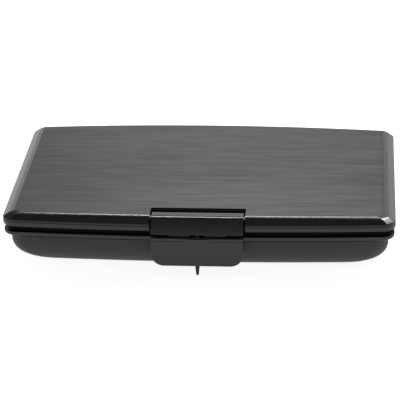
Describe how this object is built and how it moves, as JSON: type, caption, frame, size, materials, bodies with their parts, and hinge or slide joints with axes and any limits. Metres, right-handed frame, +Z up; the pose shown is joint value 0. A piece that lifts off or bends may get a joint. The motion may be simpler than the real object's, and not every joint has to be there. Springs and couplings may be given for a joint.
{
  "type": "chip rack",
  "caption": "Flat latched clamshell rack for gaming chips: brushed metal lid, black rims and tub, round-bedded chip rows inside.",
  "frame": {"origin": "centre of the case's box, on the plane that the feet stand on", "axes": "+Z up, +X to the right along the width, the latch faces -Y and the hinges are at +Y"},
  "size_m": [0.33, 0.2372, 0.052],
  "materials": {
    "case_plastic": "fine matt black moulded plastic",
    "rim_plastic": "satin black moulded plastic",
    "tray_plastic": "satin black formed plastic",
    "plate_metal": "dark anodised aluminium, brushed along the width",
    "latch_gloss": "gloss black plastic",
    "latch_matt": "matt black plastic",
    "seal_rubber": "black rubber",
    "foot_rubber": "black rubber, matt",
    "steel": "plated steel",
    "pin_steel": "blackened steel",
    "foam": "charcoal foam with a brushed knit face"
  },
  "bodies": {
    "base": {"base_shell": "case_plastic", "base_rim": "rim_plastic", "rim_seal": "seal_rubber", "tray_deck": "tray_plastic", "deck_screws": "steel", "chip_row_1": "tray_plastic", "chip_row_2": "tray_plastic", "chip_row_3": "tray_plastic", "chip_row_4": "tray_plastic", "chip_row_5": "tray_plastic", "chip_row_6": "tray_plastic", "chip_row_7": "tray_plastic", "row_end_front": "tray_plastic", "row_end_rear": "tray_plastic", "feet": "foot_rubber", "foot_screws": "steel", "hinge_left_base_leaf": "steel", "hinge_left_pin": "steel", "hinge_right_base_leaf": "steel", "hinge_right_pin": "steel", "hinge_screws_base": "steel", "latch_pad": "latch_matt", "pad_screws": "steel", "lock_pin_bush": "steel"},
    "lid": {"lid_frame": "rim_plastic", "lid_plate": "plate_metal", "lid_pad": "foam", "flap_pin": "steel", "flap_spring": "steel", "hinge_screws_lid": "steel", "hinge_left_lid_leaf": "steel", "hinge_right_lid_leaf": "steel"},
    "flap": {"latch_flap": "latch_gloss"},
    "lock_pin": {"lock_pin": "pin_steel"}
  },
  "joints": [
    {"name": "lid_hinge", "type": "hinge", "parent": "base", "child": "lid", "pos_m": [0, 0.1152, 0.0378], "axis": [-1, 0, 0], "range_deg": [0, 105]},
    {"name": "flap_hinge", "type": "hinge", "parent": "lid", "child": "flap", "pos_m": [0, -0.1012, 0.0474], "axis": [-1, 0, 0], "range_deg": [0, 75], "stiffness_Nm_per_rad": 0.02, "springref_deg": -20.05, "deforming": ["flap_spring"]},
    {"name": "lock_pin_slide", "type": "slide", "parent": "base", "child": "lock_pin", "axis": [0, 0, 1], "range_m": [0, 0.004]}
  ]
}
